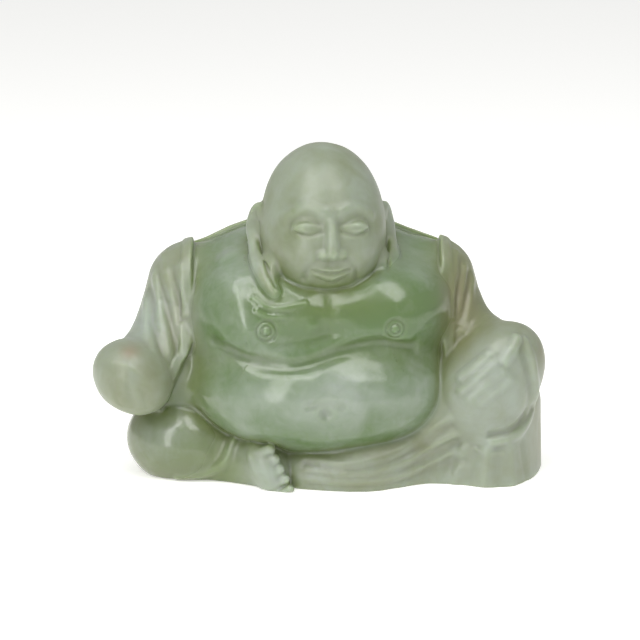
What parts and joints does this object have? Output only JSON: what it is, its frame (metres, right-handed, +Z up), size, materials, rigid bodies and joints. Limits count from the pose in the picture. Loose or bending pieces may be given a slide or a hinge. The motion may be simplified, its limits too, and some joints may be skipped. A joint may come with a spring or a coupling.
{
  "type": "budai figure",
  "caption": "Carved stone figure of a seated, laughing-belly monk type in an open robe, bald, with long ear lobes, resting on its flat underside.",
  "frame": {"origin": "middle of the flat underside, on the surface that the figure stands on", "axes": "+Z up, the figure faces -Y, +X to the viewer's right, along the figure's width"},
  "size_m": [0.1344, 0.0717, 0.0998],
  "materials": {
    "polished_serpentine": "polished, cloudy, slightly translucent pale green"
  },
  "bodies": {
    "root": {"figure": "polished_serpentine"}
  },
  "joints": []
}
